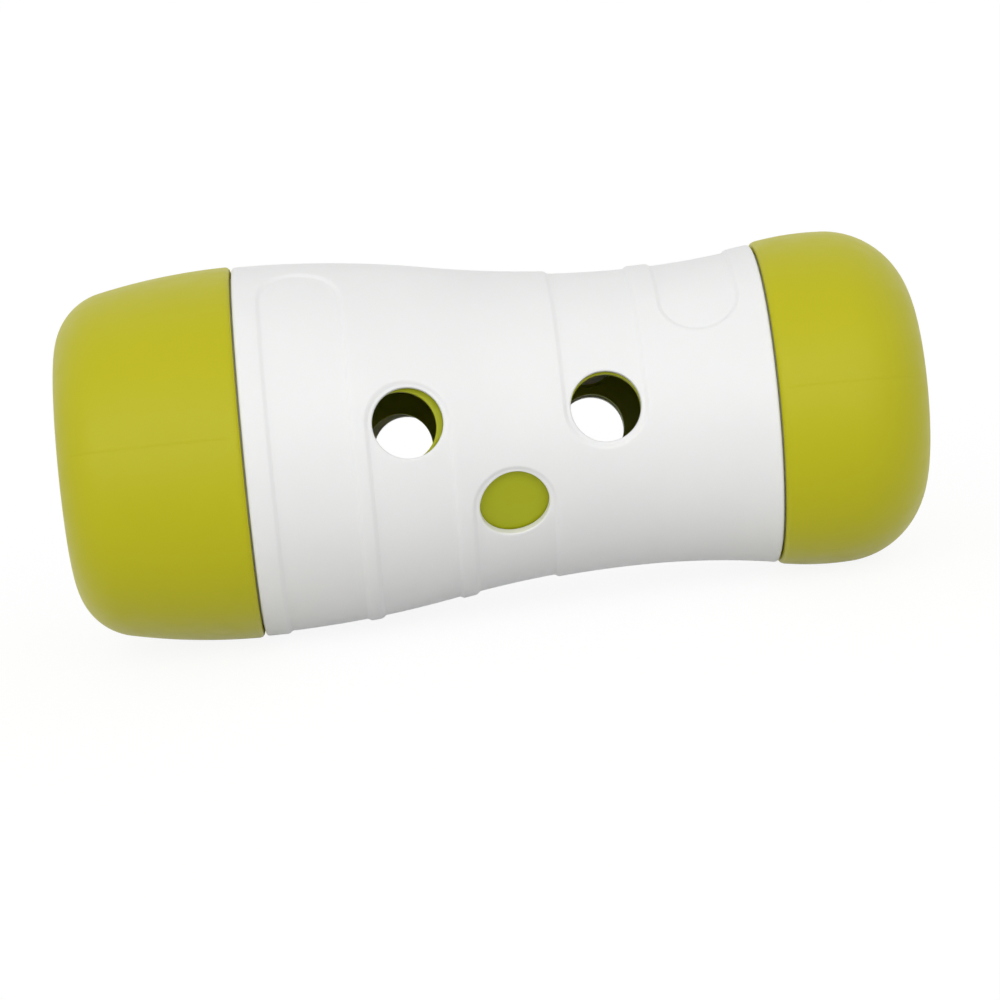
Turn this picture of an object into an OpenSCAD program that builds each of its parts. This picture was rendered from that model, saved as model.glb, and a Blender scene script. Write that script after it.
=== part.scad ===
// Dispensing roll for pets.
// A white hourglass sleeve with outlets in its wall goes round a green drum with windows. Turning the
// large end cap turns the drum inside the sleeve, which opens or shuts the outlets. The small end cap
// is the lid: it comes off to fill the drum.
// The axis lies along X with the small end towards +X, and the outlets face the front, -Y, and the back.
// Angles round the axis start at +Y and grow towards +Z, so the front is at 180.

/* [Lengths] */
// Length of the large end cap, from its seam to its flat end
large_cap_len = 42.5; // [40:0.5:50]
// Length of the sleeve between the seams of the two caps
sleeve_len = 121.3; // [118:0.1:130]
// Length of the small end cap, from its seam to its end
small_cap_len = 36.2; // [34:0.1:42]
// Length of each neck that the sleeve pushes into a cap
neck_len = 11; // [8:0.5:13]
// Gap between the rim of a cap and the shoulder of the sleeve
seam_gap = 0.4; // [0.3:0.05:0.8]

/* [Sleeve] */
// Step from the rim of a cap down to the sleeve
seam_step = 0.25; // [0:0.05:0.5]
// Drop from the small seam to the waist, in radius
waist_drop = 2.5; // [2:0.1:3.5]
// Distance from the large seam to the waist
waist_at = 90.7; // [86:0.1:96]
// Wall of the sleeve
sleeve_wall = 2.2; // [1.8:0.1:2.4]
// Width of the raised rim beside each cap
rim_w = 5; // [3:0.5:7]
// Groove between a rim and the pill panel next to it
rim_groove = 1; // [0.6:0.1:2]
// Height of the rims, belts and pill panels above the rest of the wall
relief = 0.4; // [0.2:0.05:0.6]
// Width of the belts and the pill panels
belt_w = 18.6; // [16.5:0.1:19.5]
// Angle that a pill panel covers from tip to tip
pill_span = 180; // [120:5:220]
// Angle of the middle of the pill panel near the large cap
large_pill_mid = 189.8; // [0:0.1:360]
// Angle of the middle of the pill panel near the small cap
small_pill_mid = 46.8; // [0:0.1:360]

/* [Outlets] */
// Diameter of an outlet
outlet_d = 16; // [12:0.5:16.5]
// Distance along the axis from one outlet to the next
outlet_pitch = 22.5; // [21:0.1:24]
// Distance from the large seam to the middle outlet
outlet_mid = 59.8; // [58:0.1:62]
// Angle of the outlets above or below the front
outlet_tilt = 16.8; // [15:0.1:18]

/* [Drum] */
// Wall of the drum
drum_wall = 1.8; // [1.4:0.1:2]
// Running clearance between the drum and the sleeve
drum_clear = 0.4; // [0.3:0.05:0.6]
// Angle by which the windows lie below their outlets at rest
window_lag = 1; // [0:0.5:3]
// Distance of the window next to the large cap from its outlet, towards that cap
window_shift = 1.6; // [0:0.1:2]
// Thickness of the flange that seats the drum in the large cap
flange_t = 3; // [2:0.1:4]
// Length of the drum that stands out past the lock ring
drum_lip = 2; // [1:0.1:3]

/* [Twist stops] */
// Angle that a stop lug covers
lug_angle = 10; // [6:1:16]
// Length of a stop lug
lug_len = 2.6; // [2:0.1:3]
// Free angle left between a lug and the end of its notch at each limit
lug_free = 0.5; // [0.5:0.1:1.5]

/* [Lock ring] */
// Width of the lock ring along the axis
ring_w = 3; // [2:0.1:4]
// Clearance between the lock ring and the lid
ring_clear = 1.6; // [1:0.1:1.9]
// Depth of the groove in the drum that the ring snaps into
ring_groove = 0.8; // [0.5:0.1:0.9]
// Angle of the split in the ring
ring_split = 14; // [8:1:30]

/* [End caps] */
// Radius of the large cap at its rim
large_cap_r = 43.5; // [43.1:0.1:44.5]
// Radius of the gentle crown along the side of the large cap
large_crown = 146; // [120:1:200]
// Radius of the corner between the side and the flat end of the large cap
large_corner = 14.4; // [10:0.1:18]
// Largest radius of the small cap
small_cap_r = 39; // [38.6:0.1:40]
// Radius of the swelling crown along the side of the small cap
small_crown = 70; // [65:1:90]
// Distance from the small seam to the widest place of the small cap
small_crown_at = 13; // [10:0.5:15]
// Radius of the corner between the side and the end of the small cap
small_corner = 20.4; // [17:0.1:22]
// Wall of the caps
cap_wall = 2.4; // [2:0.1:2.8]
// Wall of the skirt of the small cap, where it is thinner for the thread
lid_skirt_wall = 1.6; // [1.4:0.1:2]
// Clearance between the large neck of the sleeve and the large cap
neck_clear = 0.35; // [0.3:0.05:0.5]
// Room for the thread between the small neck and the skirt of the small cap
thread_room = 1.15; // [0.9:0.05:1.3]
// Ledge in the large cap that the flange of the drum seats on
ledge_w = 1.5; // [1:0.1:2.5]
// Clearance round the flange in the large cap
flange_clear = 0.1; // [0.05:0.05:0.3]

/* [Hidden] */
$fn = 96;
// Sides of the long arcs in the profiles
arc_fn = 720;
// Overlap that lets joined solids and cuts pass through each other
lap = 0.6;
// Extra width of the round tips of the pill panels, so that they run clear into the straight edges
tip_ease = 0.4;
// Roll of the bars that shape those tips, so that their seam stays off the straight edges
tip_roll = 50;
// Extra radius of an arc that runs into the next one, so that the two cross just past their joint
blend_ease = 0.002;
// Colours of the two plastics
white_plastic = [0.94, 0.94, 0.93];
green_plastic = [0.75, 0.74, 0.1];

// Stations along the axis
total_len = large_cap_len + sleeve_len + small_cap_len;
large_seam_x = large_cap_len - total_len / 2;
small_seam_x = large_seam_x + sleeve_len;
waist_x = large_seam_x + waist_at;
large_neck_x = large_seam_x - neck_len;
small_neck_x = small_seam_x + neck_len;
flange_x = large_neck_x - drum_clear;
drum_start_x = flange_x - flange_t;
ring_x = small_neck_x + drum_clear;
drum_end_x = ring_x + ring_w + drum_lip;

// Radii of the sleeve at the seams and at the waist
small_rim_r = small_cap_r - small_crown + sqrt(small_crown ^ 2 - small_crown_at ^ 2);
sleeve_large_r = large_cap_r - seam_step;
sleeve_small_r = small_rim_r - seam_step;
waist_r = sleeve_small_r - waist_drop;

// The hourglass is two equal arcs from the large seam to the waist and a third arc from there on
shoulder_drop = sleeve_large_r - waist_r;
shoulder_arc = (waist_at ^ 2 + shoulder_drop ^ 2) / (4 * shoulder_drop);
flare_run = sleeve_len - waist_at;
flare_rise = sleeve_small_r - waist_r;
flare_arc = (flare_run ^ 2 + flare_rise ^ 2) / (2 * flare_rise);

// Insets of the nested surfaces below the raised belts
bore_inset = relief + sleeve_wall;
drum_inset = bore_inset + drum_clear;
drum_bore_inset = drum_inset + drum_wall;

// Margin at the seams inside, where the necks leave the hourglass
shoulder_margin = seam_gap / 2 + sleeve_wall;

// Radius beyond every piece
reach = max(large_cap_r, small_cap_r, sleeve_large_r) + lap;

// Radii of the necks and of what fits in and round them
large_skirt_r = large_cap_r - cap_wall;
small_skirt_r = small_rim_r - lid_skirt_wall;
large_neck_r = large_skirt_r - neck_clear;
small_neck_r = small_skirt_r - thread_room;
drum_large_r = large_neck_r - sleeve_wall - drum_clear;
drum_small_r = min(waist_r - drum_inset, small_neck_r - sleeve_wall - drum_clear);
ring_r = small_skirt_r - ring_clear;
flange_r = large_skirt_r - flange_clear;
notch_r = large_neck_r - sleeve_wall;

// Where the outlets and the windows that serve them lie
outlet_x = [for (row = [-1:1]) large_seam_x + outlet_mid + row * outlet_pitch];
outlet_a = [180 - outlet_tilt, 180 + outlet_tilt, 180 - outlet_tilt];
sides = [0, 180];

// The drum has three settings: shut, outer outlets open, all open. A window stands ready for each of the
// settings at which its outlet is open, by the turn that brings it there.
twist_step = 2 * outlet_tilt;
window_x = [outlet_x[0] - window_shift, outlet_x[1], outlet_x[2]];
window_turns = [[0, twist_step], [twist_step], [0, twist_step]];

// Pill panels start behind the rims
large_pill_x = large_seam_x + rim_w + rim_groove;
small_pill_x = small_seam_x - rim_w - rim_groove - belt_w;

// Station where the first arc of the hourglass turns into the second, for a surface at this inset
function turn_x(inset) = large_seam_x + (shoulder_arc - inset) * waist_at / (2 * shoulder_arc);

// Radius of the raised belts at a station on the first arc or on the third
function shoulder_r(x) = sleeve_large_r - shoulder_arc + sqrt(shoulder_arc ^ 2 - (x - large_seam_x) ^ 2);
function flare_r(x) = waist_r + flare_arc - sqrt(flare_arc ^ 2 - (x - waist_x) ^ 2);

// Radius of the centre of a cap's corner, which is also the radius of its flat end
function corner_r(len, r, crown, crown_at, corner) =
    r - crown + sqrt((crown - corner) ^ 2 - (len - corner - crown_at) ^ 2);

// Turns a profile, drawn as radius across and station upwards, about the axis
module turned(from = 0, angle = 360) {
    rotate([from + 90, 0, 0])
        rotate([0, 90, 0])
            rotate_extrude(angle = angle) children();
}

// Strip of a profile between two stations
module strip(x0, x1, r = reach) {
    translate([0, x0]) square([r, x1 - x0]);
}

// Round bar that runs outwards from the axis at a station and an angle, rolled about its own length
module spoke(x, a, d, roll = 0) {
    translate([x, 0, 0])
        rotate([a - 90, 0, 0])
            rotate([0, 0, roll])
                cylinder(h = reach, d = d);
}

// Profile of the hourglass from a station to the waist, inset from the raised belts
module shoulder_form(inset, from_x) {
    intersection() {
        translate([sleeve_large_r - shoulder_arc, large_seam_x])
            circle(r = shoulder_arc - inset + blend_ease, $fn = arc_fn);
        strip(from_x, turn_x(inset) + 2 * lap);
    }
    difference() {
        strip(turn_x(inset), waist_x);
        translate([waist_r + shoulder_arc, waist_x])
            circle(r = shoulder_arc + inset, $fn = arc_fn);
    }
}

// Profile of the hourglass from the waist to a station
module flare_form(inset, to_x) {
    difference() {
        strip(waist_x, to_x);
        translate([waist_r + flare_arc, waist_x])
            circle(r = flare_arc + inset, $fn = arc_fn);
    }
}

// Profile of the whole hourglass, shortened by a margin at each seam
module hourglass(inset, margin) {
    shoulder_form(inset, large_seam_x + margin);
    flare_form(inset, small_seam_x - margin);
}

// Rims and belts that go all the way round
module ring_strips() {
    strip(large_seam_x, large_seam_x + rim_w);
    strip(small_seam_x - rim_w, small_seam_x);
    for (x = outlet_x) strip(x - belt_w / 2, x + belt_w / 2);
}

// Profile of the sleeve: relief and necks outside, an even wall inside
module sleeve_profile() {
    difference() {
        union() {
            hourglass(relief, seam_gap / 2);
            intersection() {
                hourglass(0, seam_gap / 2);
                ring_strips();
            }
            strip(large_neck_x, large_seam_x + shoulder_margin, large_neck_r);
            strip(small_seam_x - shoulder_margin, small_neck_x, small_neck_r);
        }
        hourglass(bore_inset, shoulder_margin);
        strip(large_neck_x - lap, large_seam_x + shoulder_margin + lap, large_neck_r - sleeve_wall);
        strip(small_seam_x - shoulder_margin - lap, small_neck_x + lap, small_neck_r - sleeve_wall);
    }
}

// Raised panel that goes part of the way round, from its own skin profile, with its ends cut round
module pill_panel(x, mid_a, r) {
    tip_angle = asin(belt_w / 2 / r);
    straight = pill_span - 2 * tip_angle;
    difference() {
        turned(mid_a - straight / 2 - 2 * tip_angle, straight + 4 * tip_angle) children();
        for (end = [-1, 1])
            difference() {
                turned(mid_a + end * (straight + 3 * tip_angle) / 2 - 1.5 * tip_angle, 3 * tip_angle)
                    difference() {
                        strip(x - lap, x + belt_w + lap);
                        strip(x - 2 * lap, x + belt_w + 2 * lap, r - belt_w / 2);
                    }
                spoke(x + belt_w / 2, mid_a + end * straight / 2, belt_w + tip_ease, end * tip_roll);
            }
    }
}

// Skin of the pill panel near the large cap, sunk into the wall that it stands on
module large_pill_skin() {
    intersection() {
        difference() {
            shoulder_form(0, large_seam_x + rim_w);
            shoulder_form(relief + lap, large_seam_x + rim_w - lap);
        }
        strip(large_pill_x, large_pill_x + belt_w);
    }
}

// Skin of the pill panel near the small cap
module small_pill_skin() {
    intersection() {
        difference() {
            flare_form(0, small_seam_x - rim_w);
            flare_form(relief + lap, small_seam_x - rim_w + lap);
        }
        strip(small_pill_x, small_pill_x + belt_w);
    }
}

// Lug on the end of the large neck that stops the drum at each end of its turn
module stop_lug(a) {
    turned(a - lug_angle / 2, lug_angle)
        difference() {
            strip(large_neck_x - lug_len, large_neck_x + lap, large_neck_r - neck_clear);
            strip(large_neck_x - lug_len - lap, large_neck_x + 2 * lap, notch_r + neck_clear);
        }
}

module outer_sleeve() {
    color(white_plastic)
        difference() {
            union() {
                turned() sleeve_profile();
                pill_panel(large_pill_x, large_pill_mid, shoulder_r(large_pill_x + belt_w / 2))
                    large_pill_skin();
                pill_panel(small_pill_x, small_pill_mid, flare_r(small_pill_x + belt_w / 2))
                    small_pill_skin();
                for (a = sides) stop_lug(a + 90);
            }
            for (row = [0:2], a = sides) spoke(outlet_x[row], outlet_a[row] + a, outlet_d);
        }
}

// Profile under the drum's wall at an inset: it follows the sleeve to the waist and then runs straight
module drum_form(inset, from_x, to_x) {
    intersection() {
        union() {
            shoulder_form(inset, from_x);
            strip(waist_x - 2 * lap, to_x, drum_small_r + drum_inset - inset + blend_ease);
        }
        strip(from_x, to_x, drum_large_r + drum_inset - inset);
    }
}

// Profile of the drum with its flange and the groove for the lock ring
module drum_profile() {
    difference() {
        union() {
            drum_form(drum_inset, drum_start_x, drum_end_x);
            strip(drum_start_x, flange_x, flange_r);
        }
        drum_form(drum_bore_inset, drum_start_x - lap, drum_end_x + lap);
        difference() {
            strip(ring_x, ring_x + ring_w);
            strip(ring_x, ring_x + ring_w, drum_small_r - ring_groove);
        }
    }
}

// Notch in the flange that a stop lug travels in
module stop_notch(a) {
    travel = 2 * twist_step + lug_angle + 2 * lug_free;
    turned(a - travel / 2, travel)
        difference() {
            strip(drum_start_x - lap, flange_x + lap);
            strip(drum_start_x - 2 * lap, flange_x + 2 * lap, notch_r);
        }
}

module dispensing_drum() {
    color(green_plastic)
        difference() {
            turned() drum_profile();
            for (row = [0:2], turn = window_turns[row], a = sides)
                spoke(window_x[row], outlet_a[row] + window_lag + turn + a, outlet_d);
            for (a = sides) stop_notch(a + 90);
        }
}

module drum_lock_ring() {
    color(green_plastic)
        turned(270 + ring_split / 2, 360 - ring_split)
            difference() {
                strip(ring_x, ring_x + ring_w, ring_r);
                strip(ring_x - lap, ring_x + ring_w + lap, drum_small_r - ring_groove);
            }
}

// Profile of a cap from its rim to its end, with the station counted from the seam outwards
module cap_form(len, r, crown, crown_at, corner, inset, from) {
    end_r = corner_r(len, r, crown, crown_at, corner);
    along = (len - corner - crown_at) / (crown - corner);
    across = (end_r - r + crown) / (crown - corner);
    turn_at = crown_at + (crown - inset) * along;
    turn_r = r - crown + (crown - inset) * across;
    intersection() {
        translate([r - crown, crown_at]) circle(r = crown - inset, $fn = arc_fn);
        strip(from, turn_at);
    }
    intersection() {
        translate([end_r, len - corner]) circle(r = corner - inset + blend_ease);
        strip(0, len - inset);
    }
    polygon([[0, turn_at], [turn_r, turn_at], [end_r, len - corner], [end_r, len - inset], [0, len - inset]]);
}

module large_cap_form(inset, from) {
    cap_form(large_cap_len, large_cap_r, large_crown, 0, large_corner, inset, from);
}

module small_cap_form(inset, from) {
    cap_form(small_cap_len, small_cap_r, small_crown, small_crown_at, small_corner, inset, from);
}

module large_end_cap() {
    seat = large_seam_x - drum_start_x;
    color(green_plastic)
        translate([large_seam_x, 0, 0])
            mirror([1, 0, 0])
                turned()
                    difference() {
                        large_cap_form(0, seam_gap / 2);
                        strip(0, seat, large_skirt_r);
                        intersection() {
                            large_cap_form(cap_wall, 0);
                            strip(0, large_cap_len, large_skirt_r - ledge_w);
                        }
                    }
}

module small_end_cap() {
    color(green_plastic)
        translate([small_seam_x, 0, 0])
            turned()
                difference() {
                    small_cap_form(0, seam_gap / 2);
                    strip(0, neck_len, small_skirt_r);
                    intersection() {
                        small_cap_form(cap_wall, neck_len / 2);
                        strip(0, small_cap_len, small_skirt_r);
                    }
                }
}

outer_sleeve();
dispensing_drum();
drum_lock_ring();
large_end_cap();
small_end_cap();
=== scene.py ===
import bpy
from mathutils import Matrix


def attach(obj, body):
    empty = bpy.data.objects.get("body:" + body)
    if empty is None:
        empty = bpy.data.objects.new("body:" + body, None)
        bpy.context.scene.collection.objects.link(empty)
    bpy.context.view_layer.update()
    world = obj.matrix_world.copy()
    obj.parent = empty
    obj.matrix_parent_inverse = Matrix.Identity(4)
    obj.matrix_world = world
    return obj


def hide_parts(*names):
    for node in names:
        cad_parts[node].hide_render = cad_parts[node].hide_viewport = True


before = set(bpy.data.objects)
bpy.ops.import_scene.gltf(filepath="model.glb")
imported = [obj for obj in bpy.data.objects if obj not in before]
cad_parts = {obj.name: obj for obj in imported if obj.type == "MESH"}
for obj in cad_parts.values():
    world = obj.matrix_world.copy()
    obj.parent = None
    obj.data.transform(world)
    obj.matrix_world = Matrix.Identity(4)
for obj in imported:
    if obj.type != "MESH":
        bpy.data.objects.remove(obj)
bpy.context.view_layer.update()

import math
from collections import namedtuple

import bmesh
import bpy
from bpy.props import FloatProperty, FloatVectorProperty, IntProperty, PointerProperty
from mathutils import Matrix, Vector

bl_info = {
    "name": "Dispensing roll",
    "version": (1, 0, 0),
    "blender": (4, 5, 0),
    "location": "View3D > Sidebar > Roll",
    "description": "Hourglass roll for pets with a windowed drum, an outer sleeve and two end caps",
    "category": "Add Mesh",
}

# Fineness of the meshes: pitches in metres or radians, and counts of steps
WALL_PITCH = 0.002
RELIEF_PITCH = 0.0016
BORE_PITCH = 0.004
CORNER_PITCH = math.radians(3.5)
EDGE_STEPS = 3
SLOPE_STEPS = 5
TIP_CUTS = 3
HOLE_STEPS = 96
LIP_STEPS = 6
THREAD_STEPS = 96
LUG_STEPS = 10
NOTCH_STEPS = 60
RING_STEPS = 180

# Widths of a slope from a panel's edge within which the mesh of its round ends is made finer
TIP_NEAR = 1.1

# Limits for merging doubles, for the same after cutting, for a sharp edge and for a cut that left something
MERGE = 1e-7
SLIVER = 1e-8
CUT_MERGE = 1e-6
CUT_SLIVER = 2e-7
SHARP = math.radians(32)
FEWEST_FACES = 100

# Part of a parting step's half width that counts as past it, and how far its faces may turn from its side
PARTING_PAST = 0.9
PARTING_FACING = 0.2

# Turn of the rounded lip of a hole, and how far the cutters reach past what they cut
LIP_TURN = math.radians(72)
LIP_OVER = 0.5
HOLE_PAST = 0.002
NOTCH_PAST = 0.001

# Noises of the moulded plastic: slow change of tone, change of gloss, and grain
TONE_NOISE = {"Scale": 38, "Detail": 3, "Roughness": 0.5}
GLOSS_NOISE = {"Scale": 240, "Detail": 3, "Roughness": 0.5}
GRAIN_NOISE = {"Scale": 2600, "Detail": 2, "Roughness": 0.6}
NOISE_LOW, NOISE_HIGH = 0.3, 0.7
GLOSS_CHANGE = 0.035

Panel = namedtuple("Panel", "x mid radius straight half reach")


def number(name, description, default, **kind):
    """Property for a plain number"""
    return FloatProperty(name=name, description=description, default=default, **kind)


def metres(name, description, default):
    """Property for a length, in metres"""
    return number(name, description, default, unit="LENGTH", precision=5)


def angle(name, description, degrees):
    """Property for an angle, given in degrees"""
    return number(name, description, math.radians(degrees), unit="ROTATION")


def share(name, description, default):
    """Property for a share from 0 to 1"""
    return number(name, description, default, subtype="FACTOR")


def colour(name, description, rgb):
    """Property for a linear colour"""
    return FloatVectorProperty(name=name, description=description, default=rgb,
                               size=3, min=0, max=1, subtype="COLOR")


class RollSleeveSizes(bpy.types.PropertyGroup):
    """Sizes of the outer sleeve"""

    length: metres("Length", "Distance between the seams of the two caps", 0.1213)
    neck: metres("Neck", "Length of each neck inside its cap", 0.011)
    seam_gap: metres("Seam gap", "Gap between a cap's rim and the sleeve's shoulder", 0.0004)
    seam_step: metres("Seam step", "Step from a cap's rim down to the sleeve", 0.00025)
    waist_drop: metres("Waist drop", "Drop in radius from the small seam to the waist", 0.0025)
    waist_at: metres("Waist", "Distance from the large seam to the waist", 0.0907)
    wall: metres("Wall", "Thickness of the necks", 0.0022)
    body: metres("Body", "Thickness of the wall between the panels", 0.0026)
    edge: metres("Edge", "Rounding of the necks and stops", 0.0002)
    shoulder_edge: metres("Shoulder edge", "Rounding of the sleeve's edge beside each cap", 0.0008)
    rim: metres("Rim", "Width of the plain rim between the large seam and its pill panel", 0.006)
    sunk: metres("Sunk", "Depth of the sunk panels", 0.0006)
    slope: metres("Slope", "Width of the soft slope at a panel's edge", 0.0013)
    panel: metres("Panel", "Width of the panels round the outlets and of the large pill panel", 0.0186)
    pill_span: angle("Pill span", "Angle that a pill panel covers", 180)
    large_pill: angle("Large pill", "Middle of the pill panel near the large cap", 189.8)
    large_pill_reach: number("Large pill reach", "Stretch of the large pill panel's round ends", 1.3)
    small_pill: angle("Small pill", "Middle of the pill panel near the small cap", 46.8)
    small_pill_at: metres("Small pill place", "Distance from the small seam to its pill's middle", 0.0152)
    small_pill_width: metres("Small pill width", "Width of the pill panel near the small cap", 0.018)
    outlet: metres("Outlet", "Diameter of an outlet", 0.016)
    outlet_pitch: metres("Outlet pitch", "Distance from one outlet to the next", 0.0225)
    outlet_mid: metres("Outlet middle", "Distance from the large seam to the middle outlet", 0.0598)
    outlet_tilt: angle("Outlet tilt", "Angle of the outlets above or below the front", 16.8)
    outlet_lip: metres("Outlet lip", "Rounding of the edge of an outlet", 0.00045)
    lug: metres("Lug length", "Length of a twist stop", 0.0026)
    lug_angle: angle("Lug", "Angle that a twist stop covers", 10)
    lug_foot: metres("Lug foot", "Depth of a twist stop's foot in the neck", 0.0006)


class RollDrumSizes(bpy.types.PropertyGroup):
    """Sizes of the drum and of its lock ring"""

    wall: metres("Wall", "Thickness of the wall", 0.0018)
    clear: metres("Clearance", "Running clearance inside the sleeve", 0.0004)
    throat: metres("Throat", "Length of the straight wall before the large seam", 0.006)
    window_lag: angle("Window lag", "Angle by which the windows lie below their outlets", 1)
    window_shift: metres("Window shift", "Distance of the first window from its outlet", 0.0016)
    window_lip: metres("Window lip", "Rounding of the edge of a window", 0.0003)
    flange: metres("Flange", "Thickness of the flange in the large cap", 0.003)
    lug_free: angle("Free turn", "Turn left between a lug and its notch", 0.5)
    lip: metres("Lip", "Length that stands out past the lock ring", 0.002)
    ring: metres("Lock ring", "Width of the lock ring", 0.003)
    ring_clear: metres("Ring clearance", "Clearance between the lock ring and the lid", 0.0016)
    ring_groove: metres("Ring groove", "Depth of the groove for the lock ring", 0.0008)
    ring_split: angle("Ring split", "Angle of the split in the ring", 14)


class RollCapSizes(bpy.types.PropertyGroup):
    """Sizes of the two end caps and of the lid's thread"""

    large_len: metres("Large length", "Length of the large cap from its seam", 0.0425)
    large_r: metres("Large radius", "Radius of the large cap at its rim", 0.0435)
    large_crown: metres("Large crown", "Radius of the crown along the large cap", 0.146)
    large_corner: metres("Large corner", "Radius of the corner of the large cap", 0.0144)
    small_len: metres("Small length", "Length of the small cap from its seam", 0.0362)
    small_r: metres("Small radius", "Largest radius of the small cap", 0.039)
    small_crown: metres("Small crown", "Radius of the crown along the small cap", 0.07)
    small_crown_at: metres("Small crown place", "Distance from the seam to the widest place", 0.013)
    small_corner: metres("Small corner", "Radius of the corner of the small cap", 0.0204)
    wall: metres("Wall", "Thickness of the wall", 0.0024)
    skirt: metres("Lid skirt", "Wall of the skirt round the thread", 0.0016)
    neck_clear: metres("Neck clearance", "Clearance round the large neck", 0.00035)
    ledge: metres("Ledge", "Width of the ledge that the drum's flange seats on", 0.0015)
    flange_clear: metres("Flange clearance", "Clearance round the drum's flange", 0.0001)
    rim_edge: metres("Rim edge", "Rounding of the rims", 0.0011)
    parting: metres("Parting line", "Height of the step where the moulds met", 0.00008)
    parting_width: metres("Parting width", "Width of that step", 0.00026)
    parting_fade: metres("Parting fade", "Distance round the side in which the step fades out", 0.007)
    parting_rim: metres("Parting rim", "Plain rim before the step begins", 0.0012)
    parting_rise: metres("Parting rise", "Distance in which the step rises behind the rim", 0.002)
    parting_end: metres("Parting end", "Distance in which the step runs out at the flat end", 0.006)
    thread_room: metres("Thread room", "Room for the thread round the small neck", 0.00115)
    thread_pitch: metres("Thread pitch", "Rise of the thread in a turn", 0.004)
    thread_height: metres("Thread height", "Height of the thread", 0.0008)
    thread_width: metres("Thread width", "Width of the thread at its foot", 0.0016)
    thread_root: metres("Thread root", "Depth of the thread's foot in the wall", 0.0004)
    thread_end: metres("Thread end", "Plain end of the small neck past the thread", 0.0006)
    thread_turns: number("Thread turns", "Turns of the thread", 1.75)
    thread_fade: number("Thread fade", "Part of a turn in which the thread runs out", 0.07)
    thread_least: share("Thread least", "Share of the height left at the very ends", 0.02)


class RollFinish(bpy.types.PropertyGroup):
    """Colours and finish of the plastics"""

    white: colour("White", "Colour of the sleeve", (0.865, 0.865, 0.86))
    cap_green: colour("Cap green", "Colour of the end caps", (0.497, 0.473, 0.003))
    drum_green: colour("Drum green", "Colour of the drum and its ring", (0.4, 0.43, 0.006))
    white_tone: share("White tone", "Slow change of tone over the white", 0.025)
    green_tone: share("Green tone", "Slow change of tone over the greens", 0.03)
    white_soft: share("White softness", "Share of light that the white lets in", 0.12)
    green_soft: share("Green softness", "Share of light that the greens let in", 0.08)
    soft_depth: metres("Softness depth", "How far that light gets into the plastic", 0.0015)
    soft_tint: colour("Softness tint", "How far each colour of that light gets", (1.0, 0.9, 0.6))
    gloss: share("Roughness", "Roughness of the satin plastic", 0.44)
    shine: share("Shine", "Strength of the mirror part of the plastic", 0.3)
    bend: number("Refraction", "Index of refraction of the plastic", 1.49)
    grain: share("Grain", "Strength of the moulded grain", 0.1)
    grain_depth: metres("Grain depth", "Depth of the moulded grain", 0.00008)
    steps: IntProperty(name="Steps", description="Steps of a full turn", default=288)


class RollStage(bpy.types.PropertyGroup):
    """Floor, light and camera"""

    distance: metres("Distance", "Distance of the camera from the axis", 0.881)
    along: metres("Along", "Place of the camera along the axis", -0.0287)
    height: angle("Height", "Height of the camera above the front", 12.2)
    yaw: angle("Yaw", "Turn of the camera to the right", 1.87)
    pitch: angle("Pitch", "Turn of the camera downwards", 1.09)
    roll: angle("Roll", "Roll of the camera", 5.44)
    lens: number("Lens", "Focal length in millimetres", 135.2, unit="CAMERA")
    sensor: number("Sensor", "Width of the picture in the camera, in millimetres", 36, unit="CAMERA")
    reach: metres("Reach", "Distance up to which the camera sees", 20)
    floor_size: metres("Floor size", "Half of the floor's width", 4)
    floor_drop: metres("Floor", "Depth of the floor below the axis at the middle", 0.04157)
    floor_slope: number("Floor slope", "Rise of the floor along the axis", 0.03346)
    floor_pale: colour("Floor colour", "Colour of the floor", (0.62, 0.62, 0.62))
    floor_rough: share("Floor roughness", "Roughness of the floor", 0.9)
    floor_shine: share("Floor shine", "Strength of the mirror part of the floor", 0.1)
    floor_white: share("Floor white", "Share of plain white in the floor that the camera sees", 0.8)
    floor_glow: number("Floor glow", "Strength of that plain white", 1.12)
    key: number("Key light", "Strength of the soft light from the left", 0.78)
    key_side: angle("Key side", "Side of the soft light from the left", -35)
    fill: number("Fill light", "Strength of the soft light from the right", 0.62)
    fill_side: angle("Fill side", "Side of the soft light from the right", 22)
    lamp_height: angle("Lamp height", "Height of both lights above the floor", 26)
    lamp_spread: angle("Lamp spread", "Angle over which each light is spread", 56)
    world: number("Room light", "Strength of the light from all round", 0.66)


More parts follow.
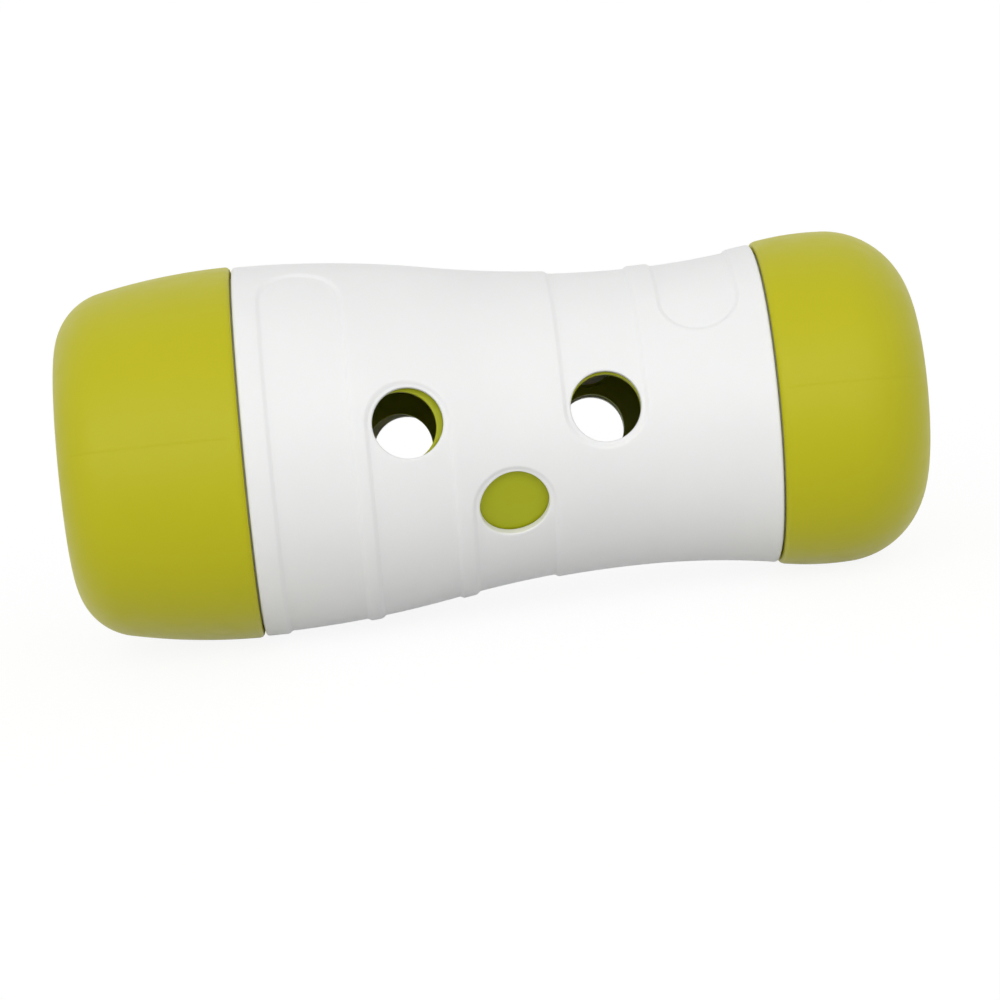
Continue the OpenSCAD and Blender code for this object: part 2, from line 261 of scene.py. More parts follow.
class RollForm:
    """Stations and radii that the pieces share, worked out from the sizes"""

    def __init__(self, scene):
        s, d, c = scene.roll_sleeve, scene.roll_drum, scene.roll_caps
        self.sleeve, self.drum, self.caps = s, d, c
        half = (c.large_len + s.length + c.small_len) / 2
        self.large_seam = c.large_len - half
        self.small_seam = self.large_seam + s.length
        self.waist = self.large_seam + s.waist_at
        self.large_neck = self.large_seam - s.neck
        self.small_neck = self.small_seam + s.neck
        self.flange_x = self.large_neck - d.clear
        self.drum_start = self.flange_x - d.flange
        self.throat_x = self.large_seam - d.throat
        self.ring_x = self.small_neck + d.clear
        self.ring_end = self.ring_x + d.ring
        self.drum_end = self.ring_end + d.lip
        thread_rise = c.thread_pitch * c.thread_turns
        self.thread_x = self.small_neck - thread_rise - c.thread_width / 2 - c.thread_end
        crown_side = math.sqrt(c.small_crown ** 2 - c.small_crown_at ** 2)
        self.small_rim_r = c.small_r - c.small_crown + crown_side
        self.sleeve_large_r = c.large_r - s.seam_step
        self.sleeve_small_r = self.small_rim_r - s.seam_step
        self.waist_r = self.sleeve_small_r - s.waist_drop
        drop = self.sleeve_large_r - self.waist_r
        run = s.length - s.waist_at
        self.shoulder = (s.waist_at ** 2 + drop ** 2) / (4 * drop)
        self.flare = (run ** 2 + s.waist_drop ** 2) / (2 * s.waist_drop)
        self.drum_inset = s.body + d.clear
        self.margin = s.seam_gap / 2 + s.wall
        self.large_skirt_r = c.large_r - c.wall
        self.small_skirt_r = self.small_rim_r - c.skirt
        self.large_neck_r = self.large_skirt_r - c.neck_clear
        self.small_neck_r = self.small_skirt_r - c.thread_room
        self.small_bore_r = self.small_neck_r - s.wall
        self.notch_r = self.large_neck_r - s.wall
        self.drum_large_r = self.notch_r - d.clear
        self.drum_small_r = min(self.waist_r - self.drum_inset, self.small_bore_r - d.clear)
        self.groove_r = self.drum_small_r - d.ring_groove
        self.ring_r = self.small_skirt_r - d.ring_clear
        self.flange_r = self.large_skirt_r - c.flange_clear
        self.outlet_x = [self.large_seam + s.outlet_mid + row * s.outlet_pitch for row in (-1, 0, 1)]
        self.outlet_a = [math.pi - s.outlet_tilt, math.pi + s.outlet_tilt, math.pi - s.outlet_tilt]
        self.stop_a = (math.pi / 2, 3 * math.pi / 2)
        self.panels = self.sunk_panels()

    def hourglass(self, x, inset=0):
        """Radius of the hourglass at a station, inset from its outside"""
        turn = self.large_seam + (self.shoulder - inset) * self.sleeve.waist_at / (2 * self.shoulder)
        if x < turn:
            across = math.sqrt((self.shoulder - inset) ** 2 - (x - self.large_seam) ** 2)
            return self.sleeve_large_r - self.shoulder + across
        bend = self.shoulder if x < self.waist else self.flare
        return self.waist_r + bend - math.sqrt((bend + inset) ** 2 - (x - self.waist) ** 2)

    def sunk_panels(self):
        """Panels sunk into the sleeve: a pill beside each cap, and one from each outlet half way round"""
        s = self.sleeve
        large_x, small_x = self.large_seam + s.rim + s.panel / 2, self.small_seam - s.small_pill_at
        pills = ((large_x, s.large_pill, s.panel / 2, s.large_pill_reach),
                 (small_x, s.small_pill, s.small_pill_width / 2, 1))
        panels = []
        for x, mid, half, reach in pills:
            radius = self.hourglass(x)
            panels.append(Panel(x, mid, radius, radius * s.pill_span - 2 * half * reach, half, reach))
        for x, at, side in zip(self.outlet_x, self.outlet_a, (1, 1, -1)):
            radius = self.hourglass(x)
            panels.append(Panel(x, at + side * math.pi / 2, radius, radius * math.pi, s.panel / 2, 1))
        return panels

    def panel_edge(self, x, at):
        """Distance of a point from the nearest panel's edge, negative inside, and if a round end is near"""
        best, tip = 1.0, False
        for panel in self.panels:
            turn = abs((at - panel.mid + math.pi) % (2 * math.pi) - math.pi)
            around = (turn * panel.radius - panel.straight / 2) / panel.reach
            gap = math.hypot(x - panel.x, max(around, 0)) - panel.half
            if gap < best:
                best, tip = gap, around > -self.sleeve.slope
        return best, tip

    def drum_wall(self, x, inset=0):
        """Radius of the drum at a station, inset from its outside"""
        if x >= self.waist:
            return self.drum_small_r - inset
        along = self.hourglass(max(x, self.large_seam), self.drum_inset + inset)
        return min(along, self.drum_large_r - inset)

    def parting_angle(self):
        """Angle of the parting lines, in line with the upper outlets"""
        return self.outlet_a[0]


def stations(start, end, pitch):
    """Evenly spaced stations from start to end"""
    count = max(1, math.ceil(abs(end - start) / pitch))
    return [start + (end - start) * i / count for i in range(count + 1)]


def turned(bm, outline, steps, start=0.0, sweep=2 * math.pi, rise=0.0):
    """Turns a closed outline about the axis. Its points are station, radius and rounding of the corner."""
    verts = [bm.verts.new((x, r, 0)) for x, r, soft in outline]
    for a, b in zip(verts, verts[1:] + verts[:1]):
        bm.edges.new((a, b))
    loose = dict.fromkeys(verts)
    for soft in sorted({point[2] for point in outline if point[2] > 0}):
        corners = [v for v, point in zip(verts, outline) if point[2] == soft]
        made = bmesh.ops.bevel(bm, geom=corners, offset=soft, offset_type="OFFSET", segments=EDGE_STEPS,
                               profile=0.5, affect="VERTICES", material=-1)
        loose.update(dict.fromkeys(made["verts"]))
    loose = [v for v in loose if v.is_valid]
    edges = list(dict.fromkeys(e for v in loose for e in v.link_edges))
    bmesh.ops.rotate(bm, verts=loose, cent=(0, 0, 0), matrix=Matrix.Rotation(start, 3, "X"))
    whole = sweep == 2 * math.pi
    made = bmesh.ops.spin(bm, geom=loose + edges, cent=(0, 0, 0), axis=(1, 0, 0), dvec=(rise / steps, 0, 0),
                          angle=sweep, steps=steps, use_merge=whole)
    if not whole:
        last = [e for e in made["geom_last"] if isinstance(e, bmesh.types.BMEdge)]
        bmesh.ops.contextual_create(bm, geom=edges)
        bmesh.ops.contextual_create(bm, geom=last)


def closed(bm):
    """Merges doubles and points the faces outwards"""
    bmesh.ops.remove_doubles(bm, verts=bm.verts, dist=MERGE)
    bmesh.ops.dissolve_degenerate(bm, edges=bm.edges, dist=SLIVER)
    bmesh.ops.recalc_face_normals(bm, faces=bm.faces)


def placed(name, bm):
    """Object at the origin from a bmesh as it is"""
    mesh = bpy.data.meshes.new(name)
    bm.to_mesh(mesh)
    bm.free()
    made = bpy.data.objects.new(name, mesh)
    bpy.context.scene.collection.objects.link(made)
    return made


def piece(name, bm):
    """Object at the origin from a bmesh that is closed first"""
    closed(bm)
    return placed(name, bm)


def worked(base, bm, operation):
    """Joins a solid to a piece or cuts it away, and keeps the result in the piece's mesh"""
    tool = piece(base.name + "_tool", bm)
    step = base.modifiers.new(operation, "BOOLEAN")
    step.operation = operation
    step.solver = "EXACT"
    step.object = tool
    view = bpy.context.evaluated_depsgraph_get()
    result = bpy.data.meshes.new_from_object(base.evaluated_get(view))
    base.modifiers.clear()
    old, base.data = base.data, result
    result.name = base.name
    bpy.data.meshes.remove(old)
    tool_mesh = tool.data
    bpy.data.objects.remove(tool)
    bpy.data.meshes.remove(tool_mesh)
    if len(result.polygons) < FEWEST_FACES:
        raise RuntimeError(f"{base.name}: {operation.lower()} left too little")


def split_evenly(bm):
    """Splits a mesh into even triangles and takes out flaps, which are two faces on the same points"""
    bmesh.ops.triangulate(bm, faces=bm.faces, quad_method="BEAUTY", ngon_method="BEAUTY")
    alike = {}
    for face in bm.faces:
        alike.setdefault(frozenset(face.verts), []).append(face)
    flaps = [face for faces in alike.values() if len(faces) > 1 for face in faces]
    bmesh.ops.delete(bm, geom=flaps, context="FACES")


def cleaned(mesh):
    """Takes out the slivers that cutting leaves in a mesh"""
    bm = bmesh.new()
    bm.from_mesh(mesh)
    bmesh.ops.remove_doubles(bm, verts=bm.verts, dist=CUT_MERGE)
    split_evenly(bm)
    bmesh.ops.dissolve_degenerate(bm, edges=bm.edges, dist=CUT_SLIVER)
    split_evenly(bm)
    bm.to_mesh(mesh)
    bm.free()


def finished(made, body, node, material):
    """Cleans and smooths a piece, gives it its plastic and sets it on its body in place of its solid"""
    mesh = made.data
    cleaned(mesh)
    mesh.polygons.foreach_set("use_smooth", [True] * len(mesh.polygons))
    mesh.set_sharp_from_angle(angle=SHARP)
    mesh.materials.clear()
    mesh.materials.append(material)
    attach(made, body)
    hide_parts(node)


def add_hole_cutter(bm, x, at, radius, lip, depth, surface):
    """Cutter for a round hole in a turned wall, with a rounded edge that follows the wall's surface"""
    before = set(bm.verts)
    arc = [LIP_TURN * i / LIP_STEPS for i in range(LIP_STEPS + 1)]
    rim = [(radius + lip * (1 - math.cos(t)), lip * (math.sin(t) - 1)) for t in arc]
    over = lip * LIP_OVER
    top_r, top = rim[-1][0] + over * math.tan(LIP_TURN), rim[-1][1] + over
    points = [(0, -depth), (radius / 2, -depth), (radius, -depth)] + rim
    points += [(top_r, top), (radius / 2, top), (0, top)]
    verts = [bm.verts.new((r, 0, h)) for r, h in points]
    edges = [bm.edges.new(pair) for pair in zip(verts, verts[1:])]
    bmesh.ops.spin(bm, geom=verts + edges, cent=(0, 0, 0), axis=(0, 0, 1), angle=2 * math.pi,
                   steps=HOLE_STEPS, use_merge=True)
    turn = Matrix.Rotation(at, 4, "X")
    for v in bm.verts:
        if v not in before:
            along, aside, up = v.co
            lift = math.sqrt(surface(x + along) ** 2 - aside ** 2) + up
            v.co = turn @ Vector((x + along, lift, aside))


def add_thread(bm, x, radius, height, sizes):
    """Helical ridge that runs out to nothing at both ends. A negative height stands inwards."""
    width, pitch, turns = sizes.thread_width, sizes.thread_pitch, sizes.thread_turns
    root, crest = radius - math.copysign(sizes.thread_root, height), radius + height
    outline = [(x - width / 2, root, 0), (x - width / 2, radius, 0), (x - width / 4, crest, 0),
               (x + width / 4, crest, 0), (x + width / 2, radius, 0), (x + width / 2, root, 0)]
    before = set(bm.verts)
    turned(bm, outline, int(turns * THREAD_STEPS), sweep=turns * 2 * math.pi, rise=turns * pitch)
    for v in bm.verts:
        r = math.hypot(v.co.y, v.co.z)
        if v in before or (r - radius) * height <= 0:
            continue
        part = (math.atan2(v.co.z, v.co.y) / (2 * math.pi)) % 1
        done = part + round((v.co.x - x) / pitch - part)
        ease = min(1, max(sizes.thread_least, min(done, turns - done) / sizes.thread_fade))
        wanted = radius + (r - radius) * ease
        v.co.y *= wanted / r
        v.co.z *= wanted / r


def sink_panels(bm, form):
    """Sinks the panels into a turned sleeve, with soft slopes at their edges"""
    s = form.sleeve

    def outside(co):
        between = form.large_seam + s.shoulder_edge < co.x < form.small_seam - s.shoulder_edge
        return between and math.hypot(co.y, co.z) > form.hourglass(co.x, s.sunk)

    fine = {}
    for face in bm.faces:
        co = face.calc_center_median()
        if outside(co):
            gap, tip = form.panel_edge(co.x, math.atan2(co.z, co.y))
            if tip and abs(gap) < s.slope * TIP_NEAR:
                fine.update(dict.fromkeys(face.edges))
    bmesh.ops.subdivide_edges(bm, edges=list(fine), cuts=TIP_CUTS, use_grid_fill=True)
    for v in bm.verts:
        if outside(v.co):
            at = math.atan2(v.co.z, v.co.y)
            part = min(1, max(0, 0.5 - form.panel_edge(v.co.x, at)[0] / s.slope))
            radius = form.hourglass(v.co.x) - s.sunk * part * part * (3 - 2 * part)
            v.co = (v.co.x, radius * math.cos(at), radius * math.sin(at))


def sleeve_outline(form):
    """Closed outline of the sleeve: hourglass and necks outside, an even wall inside"""
    s = form.sleeve
    left, right = form.large_seam + s.seam_gap / 2, form.small_seam - s.seam_gap / 2
    marks = [left]
    for panel in sorted(form.panels):
        for edge in (panel.x - panel.half, panel.x + panel.half):
            marks += [edge + s.slope * (i / SLOPE_STEPS - 0.5) for i in range(SLOPE_STEPS + 1)]
    marks.append(right)
    outside = [x for a, b in zip(marks, marks[1:]) for x in stations(a, b, RELIEF_PITCH)[:-1]] + [right]
    ends = {left: s.shoulder_edge, right: s.shoulder_edge}
    points = [(form.large_neck, form.large_neck_r, s.edge), (left, form.large_neck_r, s.edge)]
    points += [(x, form.hourglass(x), ends.get(x, 0)) for x in outside]
    points += [(right, form.small_neck_r, s.edge), (form.small_neck, form.small_neck_r, s.edge)]
    points += [(form.small_neck, form.small_bore_r, s.edge)]
    inside = stations(form.small_seam - form.margin, form.large_seam + form.margin, BORE_PITCH)
    points += [(inside[0], form.small_bore_r, 0)]
    points += [(x, form.hourglass(x, s.body), 0) for x in inside]
    points += [(inside[-1], form.notch_r, 0), (form.large_neck, form.notch_r, s.edge)]
    return points


def drum_outline(form):
    """Closed outline of the drum with its flange and the groove for the lock ring"""
    d = form.drum
    soft = d.window_lip
    points = [(form.drum_start, form.flange_r, soft), (form.flange_x, form.flange_r, soft)]
    points += [(form.flange_x, form.drum_wall(form.flange_x), 0)]
    points += [(x, form.drum_wall(x), 0) for x in stations(form.throat_x, form.waist, WALL_PITCH)]
    points += [(form.ring_x, form.drum_small_r, soft / 2), (form.ring_x, form.groove_r, 0)]
    points += [(form.ring_end, form.groove_r, 0), (form.ring_end, form.drum_small_r, soft / 2)]
    points += [(form.drum_end, form.drum_small_r, soft), (form.drum_end, form.drum_small_r - d.wall, soft)]
    inside = stations(form.waist, form.throat_x, BORE_PITCH)
    points += [(x, form.drum_wall(x, d.wall), 0) for x in inside]
    points += [(form.drum_start, form.drum_wall(form.drum_start, d.wall), soft)]
    return points


def cap_side(length, radius, crown, crown_at, corner, inset, start):
    """Side of a cap from a station to its flat end, as distance from the seam and radius"""
    tilt = math.asin((length - corner - crown_at) / (crown - corner))
    end_r = radius - crown + (crown - corner) * math.cos(tilt)
    turn = crown_at + (crown - inset) * math.sin(tilt)
    side = [(at, radius - crown + math.sqrt((crown - inset) ** 2 - (at - crown_at) ** 2))
            for at in stations(start, turn, WALL_PITCH)]
    bend, around = corner - inset, stations(tilt, math.pi / 2, CORNER_PITCH)[1:]
    side += [(length - corner + bend * math.sin(a), end_r + bend * math.cos(a)) for a in around]
    return side


def cap_outline(form, size, skirt_r, hollow_r, hollow_at):
    """Closed outline of a cap, as distance from the seam, radius and rounding of the corner"""
    wall, rim = form.caps.wall, form.sleeve.seam_gap / 2
    length = size[0]
    outside = cap_side(*size, 0, rim)
    inside = [(at, min(r, hollow_r)) for at, r in cap_side(*size, wall, hollow_at)]
    points = [(rim, skirt_r, form.sleeve.edge), (*outside[0], form.caps.rim_edge)]
    points += [(*point, 0) for point in outside[1:]]
    points += [(length, 0, 0), (length - wall, 0, 0)]
    points += [(*point, 0) for point in reversed(inside)]
    if hollow_r < skirt_r:
        points.append((hollow_at, skirt_r, 0))
    return points


def step_parting(bm, form, seam, length):
    """Fine step where the moulds met, along both sides of a cap, that fades out round the side"""
    c = form.caps
    at = form.parting_angle()
    out = Vector((0, math.cos(at), math.sin(at)))
    across = Vector((0, -math.sin(at), math.cos(at)))
    half = c.parting_width / 2
    for place in (-half, half):
        bmesh.ops.bisect_plane(bm, geom=bm.verts[:] + bm.edges[:] + bm.faces[:], dist=MERGE,
                               plane_co=across * place, plane_no=across)
    bm.normal_update()
    for v in bm.verts:
        side = math.copysign(1, v.co.dot(out))
        past = side * v.co.dot(across)
        if not half * PARTING_PAST <= past <= c.parting_fade or v.normal.dot(out * side) < PARTING_FACING:
            continue
        along = abs(v.co.x - seam)
        rise = max(0, (along - c.parting_rim) / c.parting_rise)
        fall = max(0, (length - along) / c.parting_end)
        ease = (1 - past / c.parting_fade) ** 2 * min(1, rise, fall)
        v.co -= v.normal * c.parting * ease


def turned_cap(name, form, outline, seam, side, length, steps):
    """Turns a cap from its outline and gives it its parting lines"""
    bm = bmesh.new()
    turned(bm, [(seam + side * at, r, soft) for at, r, soft in outline], steps)
    closed(bm)
    step_parting(bm, form, seam, length)
    return piece(name, bm)


def mould_grain():
    """Node group for moulded plastic: fine grain for the bump, and slow changes of tone and gloss"""
    group = bpy.data.node_groups.get("mould_grain")
    if group:
        return group
    group = bpy.data.node_groups.new("mould_grain", "ShaderNodeTree")
    sockets = (("Colour", "NodeSocketColor", "INPUT"), ("Roughness", "NodeSocketFloat", "INPUT"),
               ("Tone", "NodeSocketFloat", "INPUT"), ("Colour", "NodeSocketColor", "OUTPUT"),
               ("Roughness", "NodeSocketFloat", "OUTPUT"), ("Height", "NodeSocketFloat", "OUTPUT"))
    for name, kind, way in sockets:
        group.interface.new_socket(name, in_out=way, socket_type=kind)
    nodes, links = group.nodes, group.links
    given, result = nodes.new("NodeGroupInput"), nodes.new("NodeGroupOutput")
    place = nodes.new("ShaderNodeTexCoord")

    def noise(values):
        node = nodes.new("ShaderNodeTexNoise")
        for socket, value in values.items():
            node.inputs[socket].default_value = value
        links.new(place.outputs["Object"], node.inputs["Vector"])
        return node.outputs["Fac"]

    def spread(value, low, high):
        node = nodes.new("ShaderNodeMapRange")
        node.inputs["From Min"].default_value = NOISE_LOW
        node.inputs["From Max"].default_value = NOISE_HIGH
        node.inputs["To Min"].default_value = low
        node.inputs["To Max"].default_value = high
        links.new(value, node.inputs["Value"])
        return node

    shade = spread(noise(TONE_NOISE), 0, 1)
    less = nodes.new("ShaderNodeMath")
    less.operation = "SUBTRACT"
    less.inputs[0].default_value = 1
    links.new(given.outputs["Tone"], less.inputs[1])
    links.new(less.outputs[0], shade.inputs["To Min"])
    tint = nodes.new("ShaderNodeVectorMath")
    tint.operation = "SCALE"
    links.new(given.outputs["Colour"], tint.inputs[0])
    links.new(shade.outputs["Result"], tint.inputs["Scale"])
    links.new(tint.outputs["Vector"], result.inputs["Colour"])
    total = nodes.new("ShaderNodeMath")
    change = spread(noise(GLOSS_NOISE), -GLOSS_CHANGE, GLOSS_CHANGE)
    links.new(given.outputs["Roughness"], total.inputs[0])
    links.new(change.outputs["Result"], total.inputs[1])
    links.new(total.outputs[0], result.inputs["Roughness"])
    links.new(noise(GRAIN_NOISE), result.inputs["Height"])
    return group


def satin_plastic(name, rgb, finish, tone, soft):
    """Satin moulded plastic of a colour"""
    made = bpy.data.materials.get(name)
    if made:
        return made
    made = bpy.data.materials.new(name)
    made.use_nodes = True
    nodes, links = made.node_tree.nodes, made.node_tree.links
    shader = nodes["Principled BSDF"]
    grain = nodes.new("ShaderNodeGroup")
    grain.node_tree = mould_grain()
    grain.inputs["Colour"].default_value = (*rgb, 1)
    grain.inputs["Roughness"].default_value = finish.gloss
    grain.inputs["Tone"].default_value = tone
    bump = nodes.new("ShaderNodeBump")
    bump.inputs["Strength"].default_value = finish.grain
    bump.inputs["Distance"].default_value = finish.grain_depth
    links.new(grain.outputs["Height"], bump.inputs["Height"])
    links.new(grain.outputs["Colour"], shader.inputs["Base Color"])
    links.new(grain.outputs["Roughness"], shader.inputs["Roughness"])
    links.new(bump.outputs["Normal"], shader.inputs["Normal"])
    shader.inputs["IOR"].default_value = finish.bend
    shader.inputs["Specular IOR Level"].default_value = finish.shine
    shader.inputs["Subsurface Weight"].default_value = soft
    shader.inputs["Subsurface Radius"].default_value = finish.soft_tint
    shader.inputs["Subsurface Scale"].default_value = finish.soft_depth
    return made


def satin_white(finish):
    """White of the sleeve"""
    return satin_plastic("satin_white", finish.white, finish, finish.white_tone, finish.white_soft)


def drum_lime(finish):
    """Green of the drum and of its lock ring"""
    return satin_plastic("drum_lime", finish.drum_green, finish, finish.green_tone, finish.green_soft)


def cap_lime(finish):
    """Green of the end caps"""
    return satin_plastic("cap_lime", finish.cap_green, finish, finish.green_tone, finish.green_soft)


def seen_rays(nodes, links):
    """Mask of the rays that see the background: straight from the camera, mirrored or passed through"""
    path = nodes.new("ShaderNodeLightPath")
    mask = path.outputs["Is Camera Ray"]
    for kind in ("Is Glossy Ray", "Is Transmission Ray"):
        most = nodes.new("ShaderNodeMath")
        most.operation = "MAXIMUM"
        links.new(mask, most.inputs[0])
        links.new(path.outputs[kind], most.inputs[1])
        mask = most.outputs[0]
    return mask


def pale_floor(stage):
    """Pale floor that takes the shadow, mixed with plain white where it is seen"""
    made = bpy.data.materials.new("pale_floor")
    made.use_nodes = True
    nodes, links = made.node_tree.nodes, made.node_tree.links
    shader = nodes["Principled BSDF"]
    shader.inputs["Base Color"].default_value = (*stage.floor_pale, 1)
    shader.inputs["Roughness"].default_value = stage.floor_rough
    shader.inputs["Specular IOR Level"].default_value = stage.floor_shine
    white, pick = nodes.new("ShaderNodeEmission"), nodes.new("ShaderNodeMixShader")
    white.inputs["Strength"].default_value = stage.floor_glow
    part = nodes.new("ShaderNodeMath")
    part.operation = "MULTIPLY"
    part.inputs[1].default_value = stage.floor_white
    links.new(seen_rays(nodes, links), part.inputs[0])
    links.new(part.outputs[0], pick.inputs["Fac"])
    links.new(shader.outputs["BSDF"], pick.inputs[1])
    links.new(white.outputs["Emission"], pick.inputs[2])
    links.new(pick.outputs["Shader"], nodes["Material Output"].inputs["Surface"])
    return made


def add_floor(stage):
    """Floor that the roll lies on, which follows its taper"""
    bm = bmesh.new()
    bmesh.ops.create_grid(bm, x_segments=1, y_segments=1, size=stage.floor_size)
    for v in bm.verts:
        v.co.z = -stage.floor_drop + stage.floor_slope * v.co.x
    floor = placed("floor", bm)
    floor.data.materials.append(pale_floor(stage))


def add_room(scene, stage):
    """Even light from all round, with plain white where the room itself is seen"""
    world = bpy.data.worlds.new("studio")
    scene.world = world
    world.use_nodes = True
    nodes, links = world.node_tree.nodes, world.node_tree.links
    room, seen = nodes["Background"], nodes.new("ShaderNodeBackground")
    for background, strength in ((room, stage.world), (seen, 1)):
        background.inputs["Color"].default_value = (1, 1, 1, 1)
        background.inputs["Strength"].default_value = strength
    pick = nodes.new("ShaderNodeMixShader")
    links.new(seen_rays(nodes, links), pick.inputs["Fac"])
    links.new(room.outputs["Background"], pick.inputs[1])
    links.new(seen.outputs["Background"], pick.inputs[2])
    links.new(pick.outputs["Shader"], nodes["World Output"].inputs["Surface"])


def add_lamp(scene, stage, name, side, strength):
    """Broad soft light from one side of the front"""
    lamp = bpy.data.lights.new(name, "SUN")
    lamp.energy = strength
    lamp.angle = stage.lamp_spread
    held = bpy.data.objects.new(name, lamp)
    held.rotation_euler = (math.pi / 2 - stage.lamp_height, 0, side)
    scene.collection.objects.link(held)


def swung(a, b, turn):
    """Two square vectors turned in their plane, the first towards the second"""
    return a * math.cos(turn) + b * math.sin(turn), b * math.cos(turn) - a * math.sin(turn)


def add_camera(scene, stage):
    """Camera above the front, turned, nodded and rolled"""
    up = stage.height
    ahead, right = Vector((0, math.cos(up), -math.sin(up))), Vector((1, 0, 0))
    top = Vector((0, math.sin(up), math.cos(up)))
    ahead, right = swung(ahead, right, stage.yaw)
    ahead, top = swung(ahead, top, -stage.pitch)
    right, top = swung(right, top, -stage.roll)
    lens = bpy.data.cameras.new("camera")
    lens.lens = stage.lens
    lens.sensor_width = stage.sensor
    lens.clip_end = stage.reach
    camera = bpy.data.objects.new("camera", lens)
    place = Matrix((right, top, -ahead)).transposed().to_4x4()
    place.translation = (stage.along, -stage.distance * math.cos(up), stage.distance * math.sin(up))
    camera.matrix_world = place
    scene.collection.objects.link(camera)
    scene.camera = camera


class ROLL_OT_outer_sleeve(bpy.types.Operator):
    """Builds the white outer sleeve with its sunk panels, outlets, stops and thread"""

    bl_idname = "roll.outer_sleeve"
    bl_label = "Outer sleeve"

    def execute(self, context):
        form = RollForm(context.scene)
        s, c, finish = form.sleeve, form.caps, context.scene.roll_finish
        bm = bmesh.new()
        turned(bm, sleeve_outline(form), finish.steps)
        closed(bm)
        sink_panels(bm, form)
        made = piece("moulded_sleeve", bm)
        raised = bmesh.new()
        tip, foot = form.large_neck - s.lug, form.large_neck + s.lug_foot
        low, high = form.notch_r + c.neck_clear, form.large_neck_r - c.neck_clear
        outline = [(tip, high, s.edge), (foot, high, 0), (foot, low, 0), (tip, low, s.edge)]
        for at in form.stop_a:
            turned(raised, outline, LUG_STEPS, at - s.lug_angle / 2, s.lug_angle)
        add_thread(raised, form.thread_x, form.small_neck_r, c.thread_height, c)
        worked(made, raised, "UNION")
        cut = bmesh.new()
        for x, at in zip(form.outlet_x, form.outlet_a):
            for side in (0, math.pi):
                add_hole_cutter(cut, x, at + side, s.outlet / 2, s.outlet_lip, s.wall + HOLE_PAST,
                                lambda place: form.hourglass(place, s.sunk))
        worked(made, cut, "DIFFERENCE")
        finished(made, "sleeve", "outer_sleeve", satin_white(finish))
        return {"FINISHED"}


class ROLL_OT_drum(bpy.types.Operator):
    """Builds the green drum with its windows, its flange and the notches for the stops"""

    bl_idname = "roll.drum"
    bl_label = "Dispensing drum"

    def execute(self, context):
        form = RollForm(context.scene)
        s, d, finish = form.sleeve, form.drum, context.scene.roll_finish
        bm = bmesh.new()
        turned(bm, drum_outline(form), finish.steps)
        made = piece("windowed_drum", bm)
        step = 2 * s.outlet_tilt
        cut = bmesh.new()
        rows = zip(form.outlet_x, form.outlet_a, (d.window_shift, 0, 0), ((0, step), (step,), (0, step)))
        for x, at, shift, turns in rows:
            for turn in turns:
                for side in (0, math.pi):
                    add_hole_cutter(cut, x - shift, at + d.window_lag + turn + side, s.outlet / 2,
                                    d.window_lip, d.wall + HOLE_PAST, form.drum_wall)
        travel = 2 * step + s.lug_angle + 2 * d.lug_free
        outer = form.flange_r + NOTCH_PAST
        a, b = form.drum_start - NOTCH_PAST, form.flange_x + NOTCH_PAST
        outline = [(a, outer, 0), (b, outer, 0), (b, form.notch_r, 0), (a, form.notch_r, 0)]
        for at in form.stop_a:
            turned(cut, outline, NOTCH_STEPS, at - travel / 2, travel)
        worked(made, cut, "DIFFERENCE")
        finished(made, "drum", "dispensing_drum", drum_lime(finish))
        return {"FINISHED"}


class ROLL_OT_lock_ring(bpy.types.Operator):
    """Builds the split ring that keeps the drum in the sleeve"""

    bl_idname = "roll.lock_ring"
    bl_label = "Lock ring"

    def execute(self, context):
        form = RollForm(context.scene)
        d, finish = form.drum, context.scene.roll_finish
        a, b, low, high, soft = form.ring_x, form.ring_end, form.groove_r, form.ring_r, d.window_lip
        outline = [(a, high, soft), (b, high, soft), (b, low, soft), (a, low, soft)]
        bm = bmesh.new()
        turned(bm, outline, RING_STEPS, form.stop_a[1] + d.ring_split / 2, 2 * math.pi - d.ring_split)
        made = piece("split_lock_ring", bm)
        finished(made, "drum", "drum_lock_ring", drum_lime(finish))
        return {"FINISHED"}


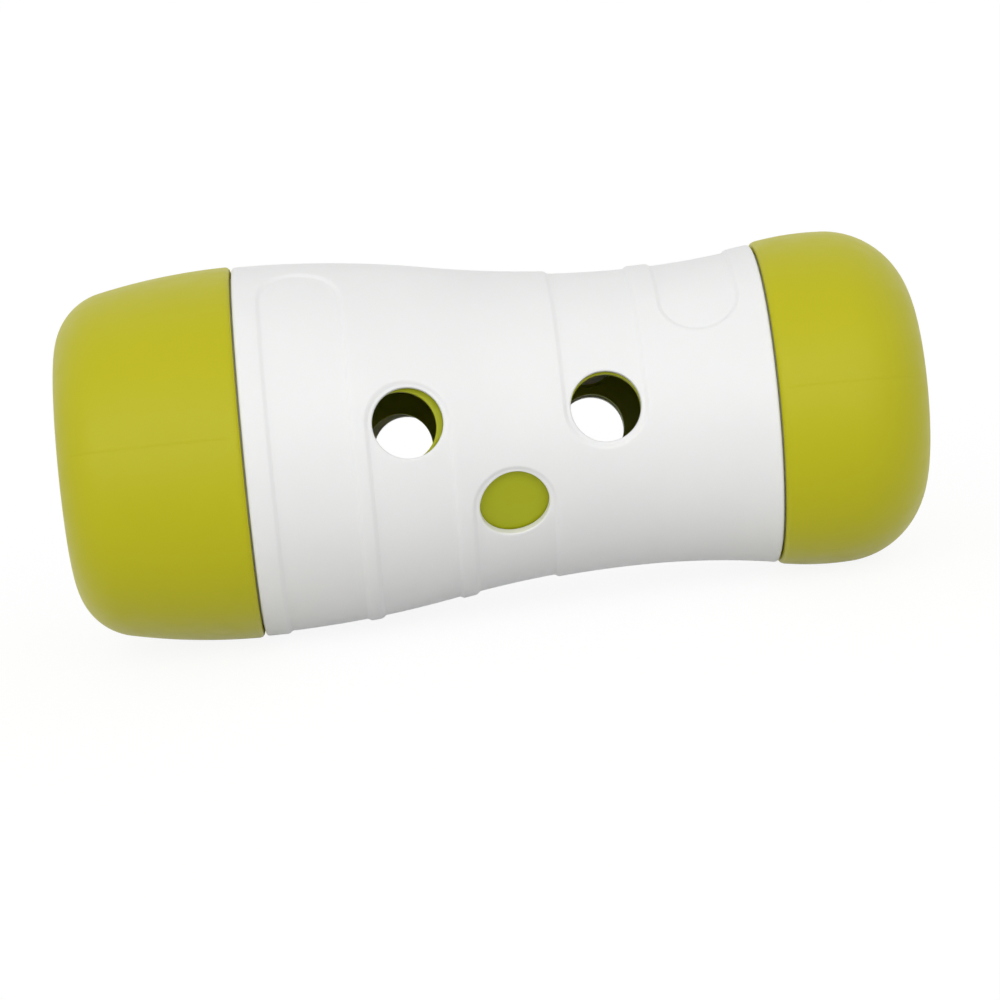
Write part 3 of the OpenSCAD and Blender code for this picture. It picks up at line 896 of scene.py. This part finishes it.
class ROLL_OT_end_caps(bpy.types.Operator):
    """Builds the large end cap and the small end cap with its thread"""

    bl_idname = "roll.end_caps"
    bl_label = "End caps"

    def execute(self, context):
        form = RollForm(context.scene)
        s, c, finish = form.sleeve, form.caps, context.scene.roll_finish
        size = (c.large_len, c.large_r, c.large_crown, 0, c.large_corner)
        outline = cap_outline(form, size, form.large_skirt_r, form.large_skirt_r - c.ledge,
                              form.large_seam - form.drum_start)
        large = turned_cap("large_cap", form, outline, form.large_seam, -1, c.large_len, finish.steps)
        finished(large, "drum", "large_end_cap", cap_lime(finish))
        size = (c.small_len, c.small_r, c.small_crown, c.small_crown_at, c.small_corner)
        outline = cap_outline(form, size, form.small_skirt_r, form.small_skirt_r, s.neck)
        small = turned_cap("small_cap", form, outline, form.small_seam, 1, c.small_len, finish.steps)
        ridge = bmesh.new()
        add_thread(ridge, form.thread_x - c.thread_pitch / 2, form.small_skirt_r, -c.thread_height, c)
        worked(small, ridge, "UNION")
        finished(small, "lid", "small_end_cap", cap_lime(finish))
        return {"FINISHED"}


class ROLL_OT_stage(bpy.types.Operator):
    """Sets the floor, the light and the camera"""

    bl_idname = "roll.stage"
    bl_label = "Stage"

    def execute(self, context):
        scene, stage = context.scene, context.scene.roll_stage
        add_floor(stage)
        add_room(scene, stage)
        add_lamp(scene, stage, "key_light", stage.key_side, stage.key)
        add_lamp(scene, stage, "fill_light", stage.fill_side, stage.fill)
        add_camera(scene, stage)
        scene.view_settings.view_transform = "Standard"
        return {"FINISHED"}


class ROLL_PT_pieces(bpy.types.Panel):
    """Lists the pieces of the roll"""

    bl_label = "Dispensing roll"
    bl_idname = "ROLL_PT_pieces"
    bl_space_type = "VIEW_3D"
    bl_region_type = "UI"
    bl_category = "Roll"

    def draw(self, context):
        column = self.layout.column(align=True)
        for operator in OPERATORS:
            column.operator(operator.bl_idname)


GROUPS = {
    "roll_sleeve": RollSleeveSizes,
    "roll_drum": RollDrumSizes,
    "roll_caps": RollCapSizes,
    "roll_finish": RollFinish,
    "roll_stage": RollStage,
}
OPERATORS = (ROLL_OT_outer_sleeve, ROLL_OT_drum, ROLL_OT_lock_ring, ROLL_OT_end_caps, ROLL_OT_stage)
CLASSES = (*GROUPS.values(), *OPERATORS, ROLL_PT_pieces)


def register():
    for each in CLASSES:
        bpy.utils.register_class(each)
    for name, group in GROUPS.items():
        setattr(bpy.types.Scene, name, PointerProperty(type=group))


def unregister():
    for name in GROUPS:
        delattr(bpy.types.Scene, name)
    for each in reversed(CLASSES):
        bpy.utils.unregister_class(each)


def main():
    register()
    bpy.ops.roll.outer_sleeve()
    bpy.ops.roll.drum()
    bpy.ops.roll.lock_ring()
    bpy.ops.roll.end_caps()
    bpy.ops.roll.stage()


if __name__ == "__main__":
    main()
